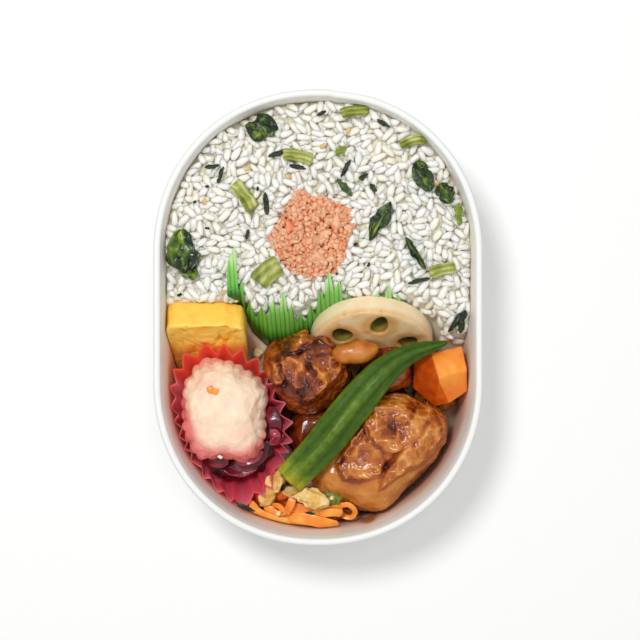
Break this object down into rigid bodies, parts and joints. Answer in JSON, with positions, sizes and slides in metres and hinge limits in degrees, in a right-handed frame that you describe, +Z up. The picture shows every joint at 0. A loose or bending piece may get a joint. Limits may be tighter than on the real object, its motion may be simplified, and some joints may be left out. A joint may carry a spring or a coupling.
{
  "type": "bento box meal",
  "caption": "Oval paper lunch box holding rice topped with salmon flakes and greens, beside glazed chicken, okra, lotus root, omelette and potato salad in a pleated cup.",
  "frame": {"origin": "middle of the box on the surface that it stands on", "axes": "+Z up, +Y towards the rice end along the box's length, +X to the right across it"},
  "size_m": [0.13, 0.18, 0.05],
  "materials": {
    "paper": "white food board with a smooth coating",
    "cup_film": "thin pleated translucent film, red turning pink",
    "okra": "simmered green pod, glossy",
    "carrot": "simmered carrot, moist",
    "lotus": "simmered lotus root, cream",
    "egg": "rolled omelette, yellow layers",
    "grass_sheet": "thin embossed green sheet",
    "salad": "mashed potato salad",
    "pickle": "dark purple pickled vegetable, wet",
    "mushroom": "mushroom in soy glaze",
    "chicken": "grilled chicken in dark sweet soy glaze",
    "tofu": "thin fried tofu strip",
    "stem": "pale green pickled stem",
    "leaf": "dark green pickled leaf",
    "rice": "cooked short-grain rice",
    "salmon": "flaked salmon"
  },
  "bodies": {
    "root": {"box": "paper", "pleated_cup": "cup_film", "okra": "okra", "carrot_chunk": "carrot", "lotus_root": "lotus", "rolled_omelette": "egg", "grass_divider": "grass_sheet", "potato_salad": "salad", "purple_pickle": "pickle", "mushroom_glazed": "mushroom", "mushroom_slice": "mushroom", "chicken_right": "chicken", "chicken_left": "chicken", "chicken_back": "chicken", "chicken_under": "chicken", "tofu_strip_right": "tofu", "tofu_strip_left": "tofu", "green_stem": "stem", "carrot_strips": "carrot", "rice": "rice", "salmon_flakes": "salmon", "greens_1": "leaf", "greens_2": "leaf", "greens_3": "stem", "greens_4": "stem", "greens_5": "stem", "greens_6": "stem", "greens_7": "leaf", "greens_8": "leaf", "greens_9": "leaf", "greens_10": "leaf", "greens_11": "stem", "greens_12": "stem"}
  },
  "joints": []
}
